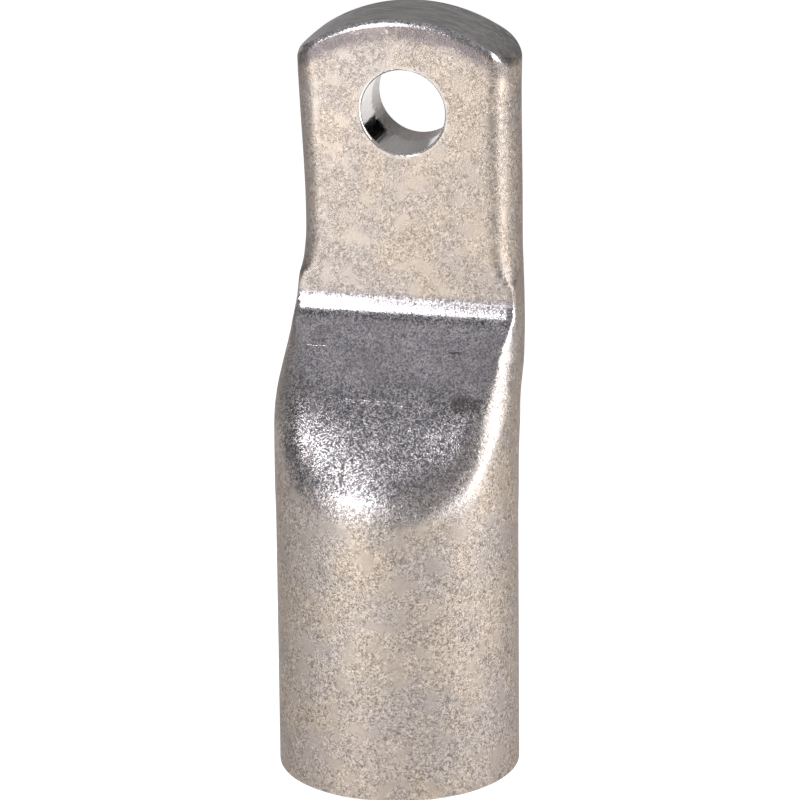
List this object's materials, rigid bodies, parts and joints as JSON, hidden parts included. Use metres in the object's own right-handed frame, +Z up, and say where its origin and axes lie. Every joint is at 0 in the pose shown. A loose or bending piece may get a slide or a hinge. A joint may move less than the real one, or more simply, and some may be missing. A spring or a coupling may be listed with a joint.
{
  "type": "tubular cable lug",
  "caption": "One-piece tinned copper crimp lug: a round barrel that takes a stranded cable, pressed flat into a palm with one stud hole.",
  "frame": {"origin": "centre of the barrel's open end", "axes": "+Z up the barrel towards the palm, +Y out of the palm's contact face, +X across the palm"},
  "size_m": [0.0244, 0.0241, 0.0754],
  "materials": {
    "tinned_copper": "matte tin plating with fine dark specks, brighter where the press has burnished it"
  },
  "bodies": {
    "root": {"cable_lug": "tinned_copper"}
  },
  "joints": []
}
